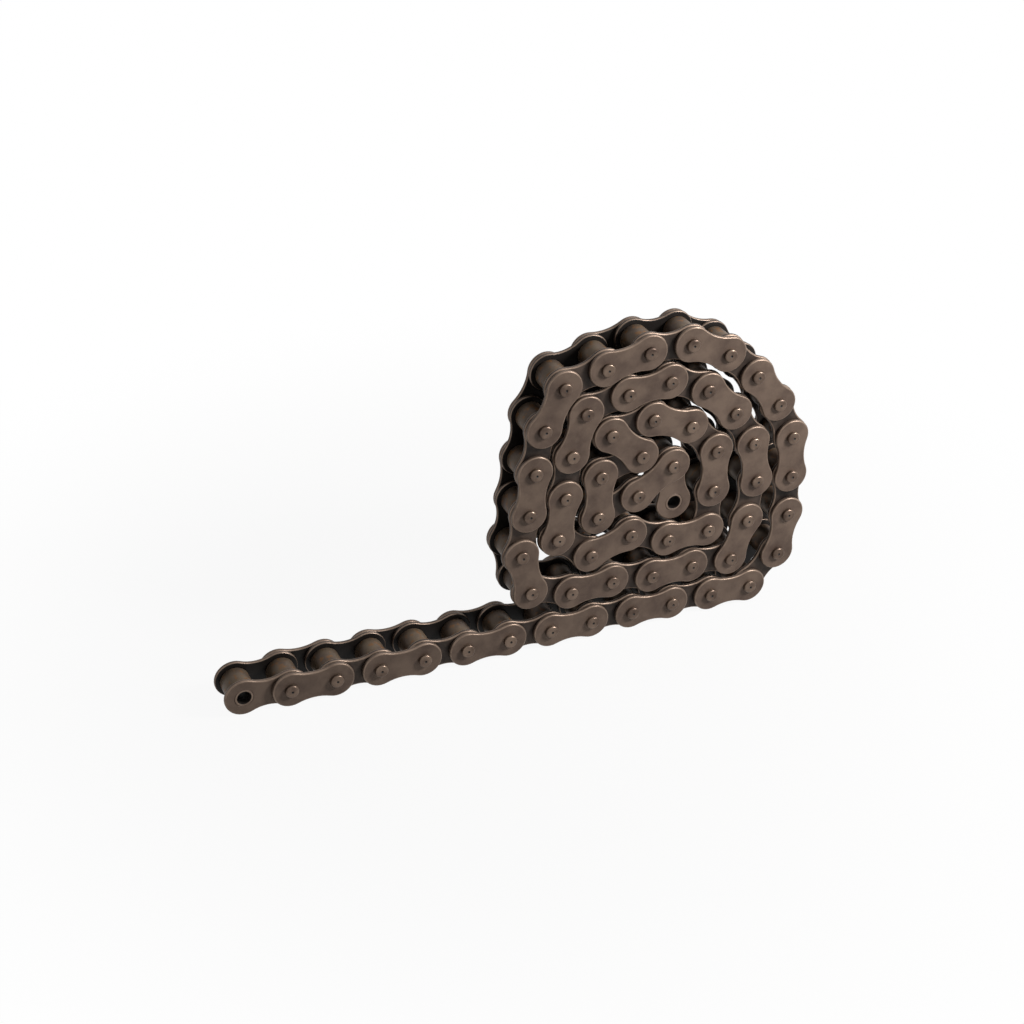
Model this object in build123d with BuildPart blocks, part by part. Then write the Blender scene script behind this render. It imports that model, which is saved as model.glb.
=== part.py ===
"""Simplex roller chain, 3/4 inch pitch, standing on its edge as a loose coil with a free tail.

Frame: +X along the straight run on the ground, away from the free end; +Y along the pins;
+Z up. The origin is the bottom centre of the coil's box. Millimetres.
"""

import os
from math import cos, hypot, radians, sin

from build123d import *

# Chain size: 3/4 inch short-pitch roller chain, one strand
PITCH = 19.05
ROLLER_DIAMETER = 12.07
INNER_WIDTH = 11.68  # between the inner plates
PIN_DIAMETER = 5.72
PIN_LENGTH = 22.7
PLATE_THICKNESS = 1.85
INNER_PLATE_HEIGHT = 16.1
OUTER_PLATE_HEIGHT = 15.6
INNER_WAIST = 12.6  # height of the plates half way between their holes
OUTER_WAIST = 12.8
BUSH_DIAMETER = 8.1

# Running clearances
PIN_FIT = 0.06  # pin to bush, on the radius
ROLLER_FIT = 0.08  # roller to bush, on the radius
ROLLER_END_PLAY = 0.15  # roller to each inner plate
SIDE_PLAY = 0.2  # inner plate to outer plate, on each side
LAP_GAP = 0.3  # least gap that two laps of the coil keep
PIN_CHAMFER = 0.6

# Places along Y that follow from the sizes
INNER_FACE = INNER_WIDTH / 2
INNER_BACK = INNER_FACE + PLATE_THICKNESS
OUTER_FACE = INNER_BACK + SIDE_PLAY

# The way the coil is wound: a straight run, then the turn in degrees that each link makes
# from the one before it, up the right side, back along the top and down the left side
STRAIGHT_LINKS = 12
FIRST_TURN = [48, 33, 10, 3] + [22, 12, 11, 18, 24, 11, 4] + [49, 15, 4, -2, 22]
SECOND_TURN = [63, 16, -8, 7, -4] + [72, 12, 18] + [22, 15, 21, 29] + [9, 57, 11, -2]
THIRD_TURN = [62, 54, -37, 21] + [85, 3] + [43, 27, 31]
INNER_END = [128, -121, 71, 111, 15, -117]
TURNS = FIRST_TURN + SECOND_TURN + THIRD_TURN + INNER_END

# Links are counted from the free end of the straight run. Even ones are inner links and
# odd ones outer links, and both ends of the chain are inner links.
LINKS = STRAIGHT_LINKS + len(TURNS)
FREE_LINKS = 18  # these can swing clear of the coil, and the rest lie locked in it


def coil_path():
    """Centre of every joint, as (x, z), with the heading in degrees of every link."""
    headings = [0] * STRAIGHT_LINKS
    for turn in TURNS:
        headings.append(headings[-1] + turn)
    points = [(0.0, 0.0)]
    for heading in headings:
        x, z = points[-1]
        points.append((x + PITCH * cos(radians(heading)), z + PITCH * sin(radians(heading))))
    middle = (min(x for x, _ in points) + max(x for x, _ in points)) / 2
    lowest = min(z for _, z in points)
    rise = INNER_PLATE_HEIGHT / 2 - lowest
    return [(x - middle, z + rise) for x, z in points], headings


JOINTS, HEADINGS = coil_path()


def link_plate(height, waist, hole_diameter):
    """A waisted side plate between y = 0 and y = PLATE_THICKNESS, with its holes on the X axis."""
    end, half, narrow = height / 2, PITCH / 2, waist / 2
    hollow = (half**2 + narrow**2 - end**2) / (2 * (end - narrow))
    reach = hypot(half, narrow + hollow)
    touch_x, touch_z = end * half / reach, end * (narrow + hollow) / reach
    with BuildPart() as plate:
        with BuildSketch(Plane.XZ):
            with BuildLine():
                ThreePointArc((touch_x, touch_z), (-end, 0), (touch_x, -touch_z))
                ThreePointArc((touch_x, -touch_z), (half, -narrow), (PITCH - touch_x, -touch_z))
                ThreePointArc((PITCH - touch_x, -touch_z), (PITCH + end, 0), (PITCH - touch_x, touch_z))
                ThreePointArc((PITCH - touch_x, touch_z), (half, narrow), (touch_x, touch_z))
            make_face()
            with Locations((0, 0), (PITCH, 0)):
                Circle(hole_diameter / 2, mode=Mode.SUBTRACT)
        extrude(amount=-PLATE_THICKNESS)
    return plate.part


def tube(diameter, bore, length):
    """A plain ring about the Y axis, centred on the origin."""
    with BuildPart() as ring:
        with BuildSketch(Plane.XZ):
            Circle(diameter / 2)
            Circle(bore / 2, mode=Mode.SUBTRACT)
        extrude(amount=length / 2, both=True)
    return ring.part


def rivet_pin():
    """A pin about the Y axis, centred on the origin, with both ends bevelled."""
    with BuildPart() as pin:
        with BuildSketch(Plane.XZ):
            Circle(PIN_DIAMETER / 2)
        extrude(amount=PIN_LENGTH / 2, both=True)
        ends = pin.edges().filter_by(GeomType.CIRCLE).group_by(Axis.Y)
        chamfer(ends[0] + ends[-1], PIN_CHAMFER)
    return pin.part


INNER_PLATE = link_plate(INNER_PLATE_HEIGHT, INNER_WAIST, BUSH_DIAMETER)
OUTER_PLATE = link_plate(OUTER_PLATE_HEIGHT, OUTER_WAIST, PIN_DIAMETER)
BUSH = tube(BUSH_DIAMETER, PIN_DIAMETER + 2 * PIN_FIT, 2 * INNER_BACK)
ROLLER = tube(
    ROLLER_DIAMETER, BUSH_DIAMETER + 2 * ROLLER_FIT, INNER_WIDTH - 2 * ROLLER_END_PLAY
)
PIN = rivet_pin()


def on_link(number, piece, along=0.0, across=0.0):
    """A copy of a piece on one link: along the link from its first joint, and across it in Y."""
    x, z = JOINTS[number]
    return Location((x, 0, z), (0, -HEADINGS[number], 0)) * Pos(along, across, 0) * piece


def plates(number):
    """The near and the far plate of one link."""
    if number % 2:
        return [
            on_link(number, OUTER_PLATE, across=-OUTER_FACE - PLATE_THICKNESS),
            on_link(number, OUTER_PLATE, across=OUTER_FACE),
        ]
    return [
        on_link(number, INNER_PLATE, across=-INNER_BACK),
        on_link(number, INNER_PLATE, across=INNER_FACE),
    ]


def at_both_joints(number, piece):
    """One copy of a piece at each of a link's two joints."""
    return [on_link(number, piece), on_link(number, piece, along=PITCH)]


def save(name, pieces):
    """Write one node as a group of separate solids."""
    solids = [solid for piece in pieces for solid in piece.solids()]
    for count, solid in enumerate(solids, 1):
        solid.label = f"{name}_{count}"
    export_step(Compound(label=name, children=solids), f"parts/{name}.step")


def main():
    os.makedirs("parts", exist_ok=True)

    # The free links, each with its own two rollers
    for number in range(FREE_LINKS):
        pair = number // 2 + 1
        if number % 2:
            save(f"outer_link_{pair:02d}", plates(number) + at_both_joints(number, PIN))
        else:
            save(f"inner_link_{pair:02d}", plates(number) + at_both_joints(number, BUSH))
            for side, roller in enumerate(at_both_joints(number, ROLLER)):
                save(f"roller_{number + side + 1:02d}", [roller])

    # The links that lie locked in the coil, by kind
    inner = [n for n in range(FREE_LINKS, LINKS) if n % 2 == 0]
    outer = [n for n in range(FREE_LINKS, LINKS) if n % 2]
    save("coil_inner_plates", [plate for n in inner for plate in plates(n)])
    save("coil_bushes", [bush for n in inner for bush in at_both_joints(n, BUSH)])
    save("coil_rollers", [roller for n in inner for roller in at_both_joints(n, ROLLER)])
    save("coil_outer_plates", [plate for n in outer for plate in plates(n)])
    save("coil_pins", [pin for n in outer for pin in at_both_joints(n, PIN)])


main()
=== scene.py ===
"""Roller chain standing on its edge as a loose coil: looks, stage and camera.

Laid out as an add-on. Sizes are in metres: +X along the straight run, +Y along the pins, +Z up.
"""

from math import atan2, cos, hypot, pi, radians, sin

import bmesh
import bpy
from mathutils import Matrix, Vector


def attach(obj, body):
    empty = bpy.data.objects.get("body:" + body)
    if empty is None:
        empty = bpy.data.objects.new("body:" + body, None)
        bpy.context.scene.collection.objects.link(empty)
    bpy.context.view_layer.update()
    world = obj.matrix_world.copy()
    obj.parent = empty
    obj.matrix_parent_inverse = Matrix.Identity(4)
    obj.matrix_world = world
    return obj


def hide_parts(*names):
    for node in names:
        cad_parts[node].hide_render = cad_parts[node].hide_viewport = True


bl_info = {
    "name": "Roller Chain Coil",
    "version": (1, 0, 0),
    "blender": (4, 2, 0),
    "location": "3D View > Sidebar > Chain",
    "description": "Builds a coiled roller chain with its studio",
    "category": "Add Mesh",
}

# The way the coil is wound: a straight run, then the turn in degrees that each link makes
# from the one before it, up the right side, back along the top and down the left side
STRAIGHT_LINKS = 12
FIRST_TURN = [48, 33, 10, 3] + [22, 12, 11, 18, 24, 11, 4] + [49, 15, 4, -2, 22]
SECOND_TURN = [63, 16, -8, 7, -4] + [72, 12, 18] + [22, 15, 21, 29] + [9, 57, 11, -2]
THIRD_TURN = [62, 54, -37, 21] + [85, 3] + [43, 27, 31]
INNER_END = [128, -121, 71, 111, 15, -117]
TURNS = FIRST_TURN + SECOND_TURN + THIRD_TURN + INNER_END

# Links are counted from the free end. Even ones are inner links and odd ones outer links.
LINKS = STRAIGHT_LINKS + len(TURNS)
FREE_LINKS = 18
COIL_BODY = "coil"

# How finely curves are cut
HOLE_STEPS = 32
END_STEPS = 22
WAIST_STEPS = 8
RING_STEPS = 40

# A plate's rims are the edges whose faces meet at more than this
RIM_ANGLE = radians(60)

# How closely a face's normal follows the Y axis where it is the flat of a plate, the flat end
# of a turned piece, or a face that has a material of its own: a bush's end, which takes a
# painted highlight, or a plate's inside, which takes painted shade
PLATE_FLAT = 0.999
END_FLAT = 0.98
BUSH_END = 0.95
PLATE_INSIDE = 0.9

# Patterns on the steels, in cells to the metre
SPECK_SCALE = 420
GRAIN_SCALE = 1500

# Where each light stands and how wide it is. All of them look at the middle of the coil.
LIGHTS = {
    "key": ((0.36, -0.24, 0.34), 0.12),
    "fill": ((-0.8, -0.6, 0.4), 0.7),
    "top": ((0.25, 0.30, 0.7), 0.5),
}
LIT_POINT = (0, 0, 0.06)

# Half the floor's width, how white it looks near the chain, and between which distances from
# the middle that rises to plain white
FLOOR_REACH = 1.5
FLOOR_WHITE = 0.93
FADE_FROM, FADE_TO = 0.10, 0.34

# Material slots that every piece shares. Slot 0 is the piece's own steel, slot 1 lighter steel as
# a painted highlight, slot 2 near-black steel as painted shade, slot 3 the pins' steel and
# slot 4 the inner plates' darker steel as painted shade.
PAINTED_HIGHLIGHT, PAINTED_SHADE, PIN, SHADED_INNER = 1, 2, 3, 4


# --- settings ---------------------------------------------------------------------------------


def length(name, description, default):
    """A length in metres, shown in the sidebar."""
    return bpy.props.FloatProperty(
        name=name, description=description, default=default, min=0, unit="LENGTH", precision=5
    )


def colour(name, description, default):
    """A linear colour, shown in the sidebar."""
    return bpy.props.FloatVectorProperty(
        name=name, description=description, default=default, subtype="COLOR", min=0, max=1
    )


def share(name, description, default):
    """A share between 0 and 1, shown in the sidebar."""
    return bpy.props.FloatProperty(
        name=name, description=description, default=default, min=0, max=1, subtype="FACTOR"
    )


class ChainSizes(bpy.types.PropertyGroup):
    """Sizes of the chain's pieces"""

    pitch: length("Pitch", "Distance between two joints", 0.01905)
    roller: length("Roller Diameter", "Outside of a roller", 0.01207)
    width: length("Inner Width", "Distance between the inner plates", 0.01168)
    pin: length("Pin Diameter", "Diameter of a pin", 0.00572)
    pin_length: length("Pin Length", "Length over a pin's two ends", 0.0227)
    plate: length("Plate Thickness", "Thickness of every side plate", 0.00185)
    inner_height: length("Inner Plate Height", "Height of an inner plate's ends", 0.0161)
    outer_height: length("Outer Plate Height", "Height of an outer plate's ends", 0.0156)
    inner_waist: length("Inner Waist", "Height of an inner plate half way along", 0.0120)
    outer_waist: length("Outer Waist", "Height of an outer plate half way along", 0.0122)
    bush: length("Bush Diameter", "Outside of a bush", 0.0081)
    pin_fit: length("Pin Fit", "Clearance of a pin in its bush", 0.00006)
    roller_fit: length("Roller Fit", "Clearance of a roller on its bush", 0.00008)
    end_play: length("Roller End Play", "Roller to each inner plate", 0.00015)
    side_play: length("Side Play", "Inner plate to outer plate", 0.0002)
    edge: length("Plate Edge", "Rounding of the plates' rims", 0.0006)
    pin_edge: length("Pin Edge", "Rounding of the pins' ends", 0.00075)
    dimple: length("Pin Dimple", "Radius of the mark at a pin's centre", 0.00055)
    bush_edge: length("Bush Edge", "Rounding of a bush's outer rims", 0.0004)
    roller_edge: length("Roller Edge", "Rounding of the rollers' ends", 0.0005)


class ChainLooks(bpy.types.PropertyGroup):
    """Colours and finish of the chain"""

    plate: colour("Plate", "Oiled steel of the side plates", (0.125, 0.088, 0.066))
    stain: colour("Plate Stain", "Darker stains on the plates", (0.066, 0.044, 0.034))
    # The inner plates' darker steel is painted shade, standing for the shade between the outer plates
    inner: colour("Inner Plate", "Inner plates, where old oil has crept", (0.058, 0.041, 0.032))
    # Lighter steel laid on rims and bush ends as a painted highlight
    worn: colour("Worn Edge", "Steel rubbed bright on rims and edges", (0.20, 0.145, 0.110))
    # Near-black steel laid on the chain's insides, bores and pin dimples as painted shade
    oily: colour("Oily Steel", "Steel under old oil, inside the chain", (0.008, 0.006, 0.005))
    pin: colour("Pin", "Steel of the pins", (0.17, 0.122, 0.092))
    roller: colour("Roller", "Film of oil on the rollers", (0.115, 0.082, 0.054))
    rust: colour("Rust", "Rusty specks on the rollers", (0.145, 0.072, 0.030))
    floor: colour("Floor", "Floor of the studio", (0.40, 0.39, 0.38))
    plate_rough: share("Plate Roughness", "How matt the plates are", 0.46)
    pin_rough: share("Pin Roughness", "How matt the pins are", 0.34)
    roller_rough: share("Roller Roughness", "How matt the rollers are", 0.48)


class StudioSettings(bpy.types.PropertyGroup):
    """Lights and camera"""

    key: bpy.props.FloatProperty(name="Key Light", description="Power", default=4.0, unit="POWER")
    fill: bpy.props.FloatProperty(name="Fill Light", description="Power", default=0.4, unit="POWER")
    top: bpy.props.FloatProperty(name="Top Light", description="Power", default=0.6, unit="POWER")
    sky: bpy.props.FloatProperty(name="Sky", description="Soft light all round", default=0.06)
    azimuth: bpy.props.FloatProperty(
        name="Azimuth", description="Camera's turn about Z", default=radians(-24.91), subtype="ANGLE"
    )
    elevation: bpy.props.FloatProperty(
        name="Elevation", description="Camera's height", default=radians(30.74), subtype="ANGLE"
    )
    roll: bpy.props.FloatProperty(
        name="Roll", description="Camera's roll", default=radians(1.83), subtype="ANGLE"
    )
    distance: length("Distance", "Camera to the point it looks at", 0.8125)
    lens: bpy.props.FloatProperty(name="Lens", description="Focal length in mm", default=70.3)
    target: bpy.props.FloatVectorProperty(
        name="Target", description="The point looked at", default=(-0.00424, 0, 0.06408), unit="LENGTH"
    )


# --- where the links lie ----------------------------------------------------------------------


def coil_path(sizes):
    """Centre of every joint, as (x, z), with the heading in radians of every link."""
    degrees = [0] * STRAIGHT_LINKS
    for turn in TURNS:
        degrees.append(degrees[-1] + turn)
    headings = [radians(d) for d in degrees]
    points = [(0.0, 0.0)]
    for heading in headings:
        x, z = points[-1]
        points.append((x + sizes.pitch * cos(heading), z + sizes.pitch * sin(heading)))
    middle = (min(x for x, _ in points) + max(x for x, _ in points)) / 2
    rise = sizes.inner_height / 2 - min(z for _, z in points)
    return [(x - middle, z + rise) for x, z in points], headings


def link_matrix(sizes, number):
    """Puts a link's own frame, with its first joint at the origin, where the link lies."""
    points, headings = coil_path(sizes)
    x, z = points[number]
    return Matrix.Translation((x, 0, z)) @ Matrix.Rotation(-headings[number], 4, "Y")


# --- meshes -----------------------------------------------------------------------------------


def arc(centre, radius, start, end, steps):
    """Points along an arc in the XZ plane, without its last one."""
    angles = [start + (end - start) * i / steps for i in range(steps)]
    return [(centre[0] + radius * cos(a), centre[1] + radius * sin(a)) for a in angles]


def plate_outline(pitch, height, waist):
    """Outline of a waisted plate: two round ends joined by two hollows."""
    end, half, narrow = height / 2, pitch / 2, waist / 2
    hollow = (half**2 + narrow**2 - end**2) / (2 * (end - narrow))
    rise = narrow + hollow
    lean = atan2(rise, half)
    swing = pi / 2 - lean
    near = arc((0, 0), end, lean, 2 * pi - lean, END_STEPS)
    below = arc((half, -rise), hollow, pi / 2 + swing, pi / 2 - swing, WAIST_STEPS)
    far = arc((pitch, 0), end, lean - pi, pi - lean, END_STEPS)
    above = arc((half, rise), hollow, -pi / 2 + swing, -pi / 2 - swing, WAIST_STEPS)
    return near + below + far + above


def closed_loop(bm, points):
    """Edges of a closed loop of (x, z) points in the plane y = 0."""
    verts = [bm.verts.new((x, 0, z)) for x, z in points]
    return [bm.edges.new((a, b)) for a, b in zip(verts, verts[1:] + verts[:1])]


def paint(bm, slot, belongs):
    """Give the faces whose centre and normal pass a test another material slot."""
    for face in bm.faces:
        if belongs(face.calc_center_median(), face.normal):
            face.material_index = slot


def off_axis(point):
    """Distance of a point from the Y axis."""
    return hypot(point.x, point.z)


def round_hole(edge, sizes, hole):
    """Whether an edge lies on the rim of one of a plate's two holes."""
    reach = [min(off_axis(v.co), hypot(v.co.x - sizes.pitch, v.co.z)) for v in edge.verts]
    return max(reach) < hole / 2 + sizes.pin_fit


def plate_mesh(sizes, height, waist, hole):
    """A side plate from y = 0, its outside, back to its inside, which takes near-black painted shade,
    with a painted highlight on its rounded rims.
    """
    bm = bmesh.new()
    edges = closed_loop(bm, plate_outline(sizes.pitch, height, waist))
    for x in (0, sizes.pitch):
        edges += closed_loop(bm, arc((x, 0), hole / 2, 0, 2 * pi, HOLE_STEPS))
    bmesh.ops.triangle_fill(bm, edges=edges, use_beauty=True, use_dissolve=False)
    made = bmesh.ops.extrude_face_region(bm, geom=bm.faces[:], use_keep_orig=True)
    moved = [v for v in made["geom"] if isinstance(v, bmesh.types.BMVert)]
    bmesh.ops.translate(bm, verts=moved, vec=(0, sizes.plate, 0))
    bmesh.ops.recalc_face_normals(bm, faces=bm.faces[:])
    rims = [e for e in bm.edges if e.is_manifold and e.calc_face_angle(0) > RIM_ANGLE]
    # The rounded rims take the lighter steel, a painted highlight
    bevel(bm, [e for e in rims if not round_hole(e, sizes, hole)], sizes.edge, 3, PAINTED_HIGHLIGHT)
    # Every plate's inside face takes near-black painted shade
    paint(bm, PAINTED_SHADE, lambda at, normal: normal.y > PLATE_INSIDE)
    for face in bm.faces:
        face.smooth = abs(face.normal.y) < PLATE_FLAT
    return bm


def bevel(bm, edges, offset, segments, slot):
    """Round some edges, with a material slot for the new faces."""
    made = bmesh.ops.bevel(
        bm,
        geom=edges,
        offset=offset,
        offset_type="OFFSET",
        segments=segments,
        profile=0.5,
        affect="EDGES",
        material=-1,
        clamp_overlap=True,
    )
    for face in made["faces"]:
        face.material_index = slot


def turned_mesh(profile, closed):
    """A ring or pin about the Y axis, from its (radius, y) profile."""
    bm = bmesh.new()
    verts = [bm.verts.new((r, y, 0)) for r, y in profile]
    pairs = list(zip(verts, verts[1:])) + ([(verts[-1], verts[0])] if closed else [])
    edges = [bm.edges.new(pair) for pair in pairs]
    bmesh.ops.spin(
        bm,
        geom=verts + edges,
        cent=(0, 0, 0),
        axis=(0, 1, 0),
        angle=2 * pi,
        steps=RING_STEPS,
        use_merge=True,
    )
    bmesh.ops.remove_doubles(bm, verts=bm.verts[:], dist=1e-6)
    bmesh.ops.recalc_face_normals(bm, faces=bm.faces[:])
    for face in bm.faces:
        face.smooth = abs(face.normal.y) < END_FLAT
    return bm


def rounded(corner, edge, out_r, out_y, points=3):
    """A quarter arc that rounds one corner of a profile, from the end face to the side."""
    r, y = corner
    angles = [pi / 2 * i / (points - 1) for i in range(points)]
    return [(r - out_r * edge * (1 - sin(a)), y - out_y * edge * (1 - cos(a))) for a in angles]


def ring_mesh(outer, bore, long, outer_edge, bore_edge):
    """A ring with rounded ends."""
    half = long / 2
    profile = rounded((outer / 2, half), outer_edge, 1, 1)
    profile += rounded((outer / 2, -half), outer_edge, 1, -1)[::-1]
    profile += rounded((bore / 2, -half), bore_edge, -1, -1)
    profile += rounded((bore / 2, half), bore_edge, -1, 1)[::-1]
    return turned_mesh(profile, closed=True)


def pin_mesh(sizes):
    """A pin with rounded ends and the small dimple that riveting leaves at its centre, painted
    near-black as painted shade.
    """
    radius, half, mark = sizes.pin / 2, sizes.pin_length / 2, sizes.dimple
    end = [(0, half - mark), (0.6 * mark, half - 0.7 * mark), (mark, half)]
    end += rounded((radius, half), sizes.pin_edge, 1, 1, points=5)
    bm = turned_mesh(end + [(r, -y) for r, y in end[::-1]], closed=False)
    # The dimple takes near-black painted shade
    paint(bm, PAINTED_SHADE, lambda at, normal: off_axis(at) < mark)
    return bm


def bush_mesh(sizes):
    """A bush, as long as the outsides of its two inner plates, with a painted highlight on its ends
    and painted shade in its bore.
    """
    long = sizes.width + 2 * sizes.plate
    bore = sizes.pin + 2 * sizes.pin_fit
    bm = ring_mesh(sizes.bush, bore, long, sizes.bush_edge, sizes.bush_edge / 2)
    # The flat ends take the lighter steel, a painted highlight
    paint(bm, PAINTED_HIGHLIGHT, lambda at, normal: abs(normal.y) > BUSH_END)
    # The bore takes near-black painted shade
    paint(bm, PAINTED_SHADE, lambda at, normal: off_axis(at) < bore / 2 + sizes.pin_fit)
    return bm


def roller_mesh(sizes):
    """A roller, a little shorter than the space between the inner plates."""
    bore = sizes.bush + 2 * sizes.roller_fit
    long = sizes.width - 2 * sizes.end_play
    return ring_mesh(sizes.roller, bore, long, sizes.roller_edge, 0.0002)


def add_copy(bm, piece, matrix, slot=0):
    """Copy one mesh into another, placed by a matrix, with a slot for its own steel."""
    before = len(bm.verts)
    first = len(bm.faces)
    bm.from_mesh(piece)
    bm.verts.ensure_lookup_table()
    bm.faces.ensure_lookup_table()
    bmesh.ops.transform(bm, matrix=matrix, verts=bm.verts[before:])
    for face in bm.faces[first:]:
        face.material_index = face.material_index or slot


def as_mesh(bm, name):
    """A Mesh data block from a bmesh."""
    mesh = bpy.data.meshes.new(name)
    bm.to_mesh(mesh)
    bm.free()
    return mesh


def finished(bm, name, materials, body, node):
    """Make the object, hang it on its body and let it stand for its CAD node."""
    mesh = as_mesh(bm, name)
    for material in materials:
        mesh.materials.append(material)
    obj = bpy.data.objects.new(name, mesh)
    bpy.context.scene.collection.objects.link(obj)
    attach(obj, body)
    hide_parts(node)
    return obj


def plate_copies(bm, sizes, number, piece):
    """The near plate of one link and, turned over, its far plate. Inner plates, but for those of the
    two end links, take a darker steel as painted shade between the outer plates.
    """
    inner = number % 2 == 0
    outside = sizes.width / 2 + sizes.plate
    if not inner:
        outside += sizes.side_play + sizes.plate
    open_end = number in (0, LINKS - 1)
    for y, turn in ((-outside, 0), (outside, pi)):
        place = Matrix.Translation((0, y, 0)) @ Matrix.Rotation(turn, 4, "X")
        # The inner plates' darker steel is painted shade
        slot = SHADED_INNER if inner and not open_end else 0
        add_copy(bm, piece, link_matrix(sizes, number) @ place, slot)


def joint_copies(bm, sizes, number, piece, slot=0):
    """One copy at each of a link's two joints."""
    for x in (0, sizes.pitch):
        add_copy(bm, piece, link_matrix(sizes, number) @ Matrix.Translation((x, 0, 0)), slot)


def piece_meshes(sizes):
    """One mesh of each kind of piece."""
    return {
        "inner_plate": as_mesh(
            plate_mesh(sizes, sizes.inner_height, sizes.inner_waist, sizes.bush), "inner_plate"
        ),
        "outer_plate": as_mesh(
            plate_mesh(sizes, sizes.outer_height, sizes.outer_waist, sizes.pin), "outer_plate"
        ),
        "pin": as_mesh(pin_mesh(sizes), "pin"),
        "bush": as_mesh(bush_mesh(sizes), "bush"),
        "roller": as_mesh(roller_mesh(sizes), "roller"),
    }


# --- materials --------------------------------------------------------------------------------


def steel(name, base, stain, rough, metallic, scale, specks=None):
    """Oiled steel with cloudy stains, fine grain and, where given, rusty specks."""
    material = bpy.data.materials.get(name)
    if material:
        return material
    material = bpy.data.materials.new(name)
    material.use_nodes = True
    nodes, links = material.node_tree.nodes, material.node_tree.links
    shader = nodes["Principled BSDF"]
    shader.inputs["Specular IOR Level"].default_value = 0.2
    place = nodes.new("ShaderNodeTexCoord")
    cloud = nodes.new("ShaderNodeTexNoise")
    cloud.inputs["Scale"].default_value = scale
    cloud.inputs["Detail"].default_value = 5
    cloud.inputs["Roughness"].default_value = 0.6
    links.new(place.outputs["Object"], cloud.inputs["Vector"])
    ramp = nodes.new("ShaderNodeValToRGB")
    ramp.color_ramp.elements[0].position = 0.32
    ramp.color_ramp.elements[0].color = (*stain, 1)
    ramp.color_ramp.elements[1].position = 0.62
    ramp.color_ramp.elements[1].color = (*base, 1)
    links.new(cloud.outputs["Fac"], ramp.inputs["Fac"])
    tint = ramp.outputs["Color"]
    if specks:
        dots = nodes.new("ShaderNodeTexNoise")
        dots.inputs["Scale"].default_value = SPECK_SCALE
        dots.inputs["Detail"].default_value = 2
        links.new(place.outputs["Object"], dots.inputs["Vector"])
        keep = nodes.new("ShaderNodeMapRange")
        keep.inputs["From Min"].default_value = 0.55
        keep.inputs["From Max"].default_value = 0.68
        links.new(dots.outputs["Fac"], keep.inputs["Value"])
        mix = nodes.new("ShaderNodeMix")
        mix.data_type = "RGBA"
        links.new(keep.outputs["Result"], mix.inputs["Factor"])
        links.new(tint, mix.inputs["A"])
        mix.inputs["B"].default_value = (*specks, 1)
        tint = mix.outputs["Result"]
    links.new(tint, shader.inputs["Base Color"])
    shader.inputs["Metallic"].default_value = metallic
    sheen = nodes.new("ShaderNodeMapRange")
    sheen.inputs["To Min"].default_value = rough + 0.07
    sheen.inputs["To Max"].default_value = rough - 0.07
    links.new(cloud.outputs["Fac"], sheen.inputs["Value"])
    links.new(sheen.outputs["Result"], shader.inputs["Roughness"])
    grain = nodes.new("ShaderNodeTexNoise")
    grain.inputs["Scale"].default_value = GRAIN_SCALE
    grain.inputs["Detail"].default_value = 3
    links.new(place.outputs["Object"], grain.inputs["Vector"])
    bump = nodes.new("ShaderNodeBump")
    bump.inputs["Strength"].default_value = 0.12
    bump.inputs["Distance"].default_value = 0.0002
    links.new(grain.outputs["Fac"], bump.inputs["Height"])
    links.new(bump.outputs["Normal"], shader.inputs["Normal"])
    return material


def materials(looks, own):
    """The steels in the order of the slots, with a piece's own steel first."""
    # Colour, stain, roughness, metallic share, cloud cells to the metre and, for some, specks
    steels = {
        "plate": (looks.plate, looks.stain, looks.plate_rough, 0.25, 90),
        # Darker steel for the inner plates, as painted shade
        "inner": (looks.inner, looks.oily, looks.plate_rough, 0.2, 90),
        # Lighter steel for rims and bush ends, as a painted highlight
        "worn": (looks.worn, looks.plate, 0.42, 0.6, 240),
        # Near-black steel for the chain's insides, as painted shade
        "oily": (looks.oily, looks.oily, 0.5, 0.0, 120),
        "pin": (looks.pin, looks.stain, looks.pin_rough, 0.75, 160),
        "roller": (looks.roller, looks.stain, looks.roller_rough, 0.3, 130, looks.rust),
    }
    return [steel(f"chain_{name}", *steels[name]) for name in (own, "worn", "oily", "pin", "inner")]


# --- operators --------------------------------------------------------------------------------


class CHAIN_OT_free_links(bpy.types.Operator):
    """Build the links that swing clear of the coil, each with its plates and bushes or pins"""

    bl_idname = "chain.free_links"
    bl_label = "Free Links"

    def execute(self, context):
        sizes = context.scene.chain_sizes
        steels = materials(context.scene.chain_looks, "plate")
        meshes = piece_meshes(sizes)
        for number in range(FREE_LINKS):
            bm = bmesh.new()
            if number % 2:
                kind = "outer"
                joint_copies(bm, sizes, number, meshes["pin"], PIN)
            else:
                kind = "inner"
                joint_copies(bm, sizes, number, meshes["bush"])
            plate_copies(bm, sizes, number, meshes[f"{kind}_plate"])
            name = f"{kind}_link_{number // 2 + 1:02d}"
            finished(bm, name, steels, name, name)
        return {"FINISHED"}


class CHAIN_OT_free_rollers(bpy.types.Operator):
    """Build the rollers of the free links, which turn on their bushes"""

    bl_idname = "chain.free_rollers"
    bl_label = "Free Rollers"

    def execute(self, context):
        sizes = context.scene.chain_sizes
        steels = materials(context.scene.chain_looks, "roller")
        piece = as_mesh(roller_mesh(sizes), "roller")
        for number in range(0, FREE_LINKS, 2):
            for side in (0, 1):
                name = f"roller_{number + side + 1:02d}"
                bm = bmesh.new()
                shift = Matrix.Translation((side * sizes.pitch, 0, 0))
                add_copy(bm, piece, link_matrix(sizes, number) @ shift)
                finished(bm, name, steels, name, name)
        return {"FINISHED"}


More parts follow.
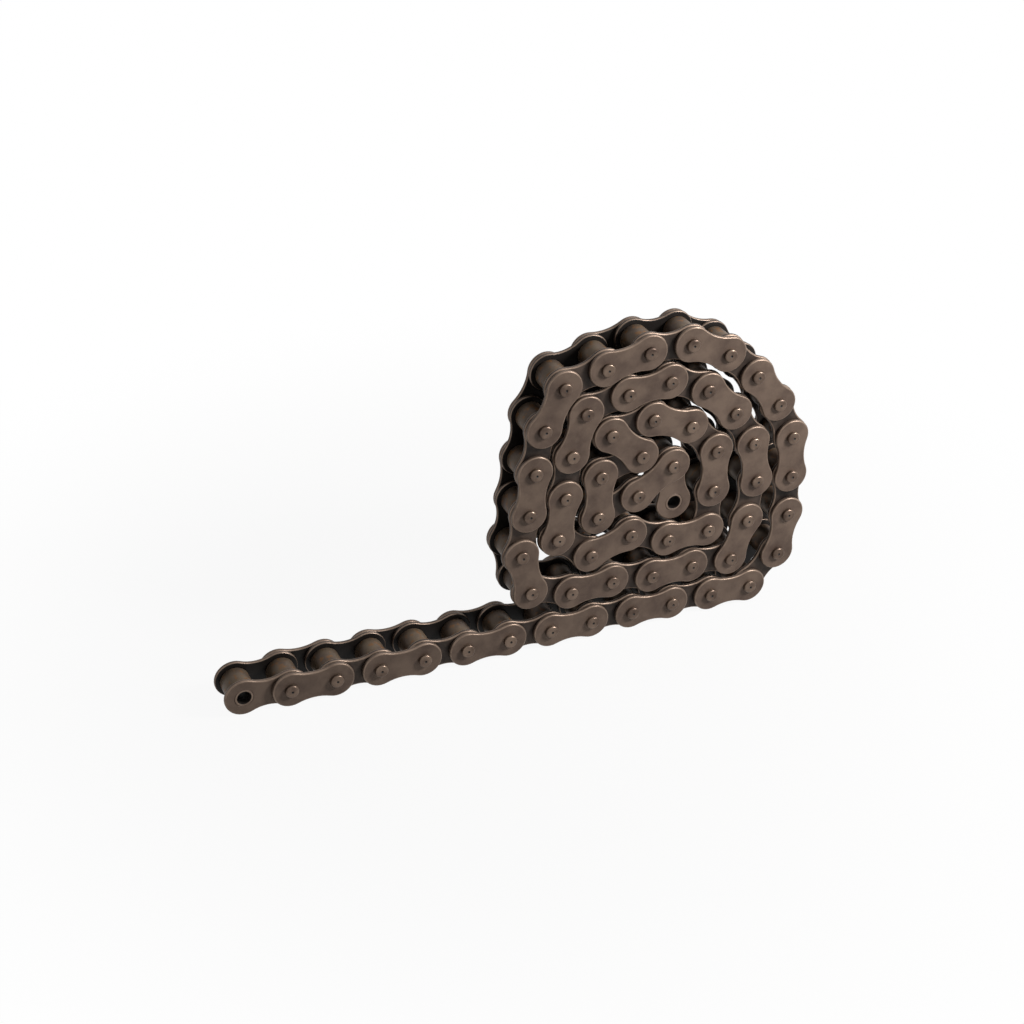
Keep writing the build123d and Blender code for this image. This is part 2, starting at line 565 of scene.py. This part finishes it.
class CHAIN_OT_coil_links(bpy.types.Operator):
    """Build the links that lie locked in the coil, by kind of piece"""

    bl_idname = "chain.coil_links"
    bl_label = "Coil Links"

    def execute(self, context):
        sizes = context.scene.chain_sizes
        looks = context.scene.chain_looks
        meshes = piece_meshes(sizes)
        inner = [n for n in range(FREE_LINKS, LINKS) if n % 2 == 0]
        outer = [n for n in range(FREE_LINKS, LINKS) if n % 2]
        kinds = [
            ("coil_inner_plates", inner, "inner_plate", "plate", "inner_plate_steel"),
            ("coil_outer_plates", outer, "outer_plate", "plate", "outer_plate_steel"),
            ("coil_bushes", inner, "bush", "plate", "roller_steel"),
            ("coil_rollers", inner, "roller", "roller", "roller_steel"),
            ("coil_pins", outer, "pin", "pin", "pin_steel"),
        ]
        for name, numbers, kind, own, slot in kinds:
            bm = bmesh.new()
            for number in numbers:
                copies = plate_copies if "plate" in kind else joint_copies
                copies(bm, sizes, number, meshes[kind])
            finished(bm, name, materials(looks, own), COIL_BODY, name)
        return {"FINISHED"}


def area_light(name, place, size, power):
    """A soft square light that looks at the middle of the coil."""
    data = bpy.data.lights.new(name, "AREA")
    data.size = size
    data.energy = power
    light = bpy.data.objects.new(name, data)
    light.location = place
    light.rotation_euler = (Vector(LIT_POINT) - Vector(place)).to_track_quat("-Z", "Y").to_euler()
    bpy.context.scene.collection.objects.link(light)
    return light


def seen_rays(nodes, links):
    """1 for what the camera sees, directly, in a reflection or through glass, and 0 for light."""
    rays = nodes.new("ShaderNodeLightPath")
    seen = rays.outputs["Is Camera Ray"]
    for kind in ("Is Glossy Ray", "Is Transmission Ray"):
        either = nodes.new("ShaderNodeMath")
        either.operation = "MAXIMUM"
        links.new(seen, either.inputs[0])
        links.new(rays.outputs[kind], either.inputs[1])
        seen = either.outputs["Value"]
    return seen


def white_world(scene, strength):
    """Soft light all round, and plain white where the camera sees past the floor."""
    world = bpy.data.worlds.new("studio")
    scene.world = world
    world.use_nodes = True
    nodes, links = world.node_tree.nodes, world.node_tree.links
    nodes.clear()
    seen = nodes.new("ShaderNodeBackground")
    seen.inputs["Color"].default_value = (1, 1, 1, 1)
    lit = nodes.new("ShaderNodeBackground")
    lit.inputs["Color"].default_value = (1, 0.98, 0.96, 1)
    lit.inputs["Strength"].default_value = strength
    mix = nodes.new("ShaderNodeMixShader")
    out = nodes.new("ShaderNodeOutputWorld")
    links.new(seen_rays(nodes, links), mix.inputs["Fac"])
    links.new(lit.outputs["Background"], mix.inputs[1])
    links.new(seen.outputs["Background"], mix.inputs[2])
    links.new(mix.outputs["Shader"], out.inputs["Surface"])


def floor_material(looks):
    """A pale matt floor that keeps its shadow, seen as white and whiter still further off."""
    material = bpy.data.materials.new("studio_floor")
    material.use_nodes = True
    nodes, links = material.node_tree.nodes, material.node_tree.links
    matt = nodes["Principled BSDF"]
    matt.inputs["Base Color"].default_value = (*looks.floor, 1)
    matt.inputs["Roughness"].default_value = 0.9
    matt.inputs["Specular IOR Level"].default_value = 0.1
    white = nodes.new("ShaderNodeEmission")
    place = nodes.new("ShaderNodeTexCoord")
    reach = nodes.new("ShaderNodeVectorMath")
    reach.operation = "LENGTH"
    links.new(place.outputs["Object"], reach.inputs[0])
    fade = nodes.new("ShaderNodeMapRange")
    fade.interpolation_type = "SMOOTHSTEP"
    fade.inputs["From Min"].default_value = FADE_FROM
    fade.inputs["From Max"].default_value = FADE_TO
    fade.inputs["To Min"].default_value = FLOOR_WHITE
    links.new(reach.outputs["Value"], fade.inputs["Value"])
    share_seen = nodes.new("ShaderNodeMath")
    share_seen.operation = "MULTIPLY"
    links.new(fade.outputs["Result"], share_seen.inputs[0])
    links.new(seen_rays(nodes, links), share_seen.inputs[1])
    mix = nodes.new("ShaderNodeMixShader")
    links.new(share_seen.outputs["Value"], mix.inputs["Fac"])
    links.new(matt.outputs["BSDF"], mix.inputs[1])
    links.new(white.outputs["Emission"], mix.inputs[2])
    links.new(mix.outputs["Shader"], nodes["Material Output"].inputs["Surface"])
    return material


class CHAIN_OT_stage(bpy.types.Operator):
    """Set up the floor, the soft lights and the camera"""

    bl_idname = "chain.stage"
    bl_label = "Studio"

    def execute(self, context):
        scene = context.scene
        looks, studio = scene.chain_looks, scene.chain_studio
        bm = bmesh.new()
        bmesh.ops.create_grid(bm, x_segments=1, y_segments=1, size=FLOOR_REACH)
        mesh = as_mesh(bm, "floor")
        mesh.materials.append(floor_material(looks))
        floor = bpy.data.objects.new("floor", mesh)
        scene.collection.objects.link(floor)
        lights = [
            area_light(name, place, size, getattr(studio, name))
            for name, (place, size) in LIGHTS.items()
        ]
        white_world(scene, studio.sky)
        self.camera(scene, studio)
        scene.view_settings.view_transform = "Standard"
        return {"FINISHED"}

    def camera(self, scene, studio):
        """The camera, on its orbit about the point it looks at."""
        a, e, r = studio.azimuth, studio.elevation, studio.roll
        right = Vector((cos(a), sin(a), 0))
        back = Vector((sin(a) * cos(e), -cos(a) * cos(e), sin(e)))
        up = back.cross(right)
        rolled_right = cos(r) * right + sin(r) * up
        rolled_up = cos(r) * up - sin(r) * right
        data = bpy.data.cameras.new("camera")
        data.lens = studio.lens
        data.sensor_width = 36
        data.clip_start = 0.01
        camera = bpy.data.objects.new("camera", data)
        turn = Matrix((rolled_right, rolled_up, back)).transposed().to_4x4()
        place = Vector(studio.target) + back * studio.distance
        camera.matrix_world = Matrix.Translation(place) @ turn
        scene.collection.objects.link(camera)
        scene.camera = camera


class CHAIN_PT_sidebar(bpy.types.Panel):
    """Sizes, colours and the steps that build the chain"""

    bl_label = "Roller Chain"
    bl_idname = "CHAIN_PT_sidebar"
    bl_space_type = "VIEW_3D"
    bl_region_type = "UI"
    bl_category = "Chain"

    def draw(self, context):
        layout, scene = self.layout, context.scene
        for step in STEPS:
            layout.operator(step.bl_idname)
        for group in (scene.chain_sizes, scene.chain_looks, scene.chain_studio):
            box = layout.box()
            for name in group.__annotations__:
                box.prop(group, name)


STEPS = (CHAIN_OT_free_links, CHAIN_OT_free_rollers, CHAIN_OT_coil_links, CHAIN_OT_stage)
GROUPS = {"chain_sizes": ChainSizes, "chain_looks": ChainLooks, "chain_studio": StudioSettings}


def register():
    for cls in (*GROUPS.values(), *STEPS, CHAIN_PT_sidebar):
        bpy.utils.register_class(cls)
    for name, group in GROUPS.items():
        setattr(bpy.types.Scene, name, bpy.props.PointerProperty(type=group))


def unregister():
    for name in GROUPS:
        delattr(bpy.types.Scene, name)
    for cls in (CHAIN_PT_sidebar, *STEPS[::-1], *GROUPS.values()):
        bpy.utils.unregister_class(cls)


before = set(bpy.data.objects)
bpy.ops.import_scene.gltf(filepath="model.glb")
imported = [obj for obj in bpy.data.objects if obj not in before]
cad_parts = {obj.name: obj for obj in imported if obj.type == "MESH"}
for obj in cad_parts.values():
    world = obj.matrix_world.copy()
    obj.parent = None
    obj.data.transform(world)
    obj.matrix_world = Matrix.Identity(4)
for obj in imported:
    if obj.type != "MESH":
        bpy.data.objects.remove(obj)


def main():
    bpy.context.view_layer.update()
    register()
    bpy.ops.chain.free_links()
    bpy.ops.chain.free_rollers()
    bpy.ops.chain.coil_links()
    bpy.ops.chain.stage()


if __name__ == "__main__":
    main()
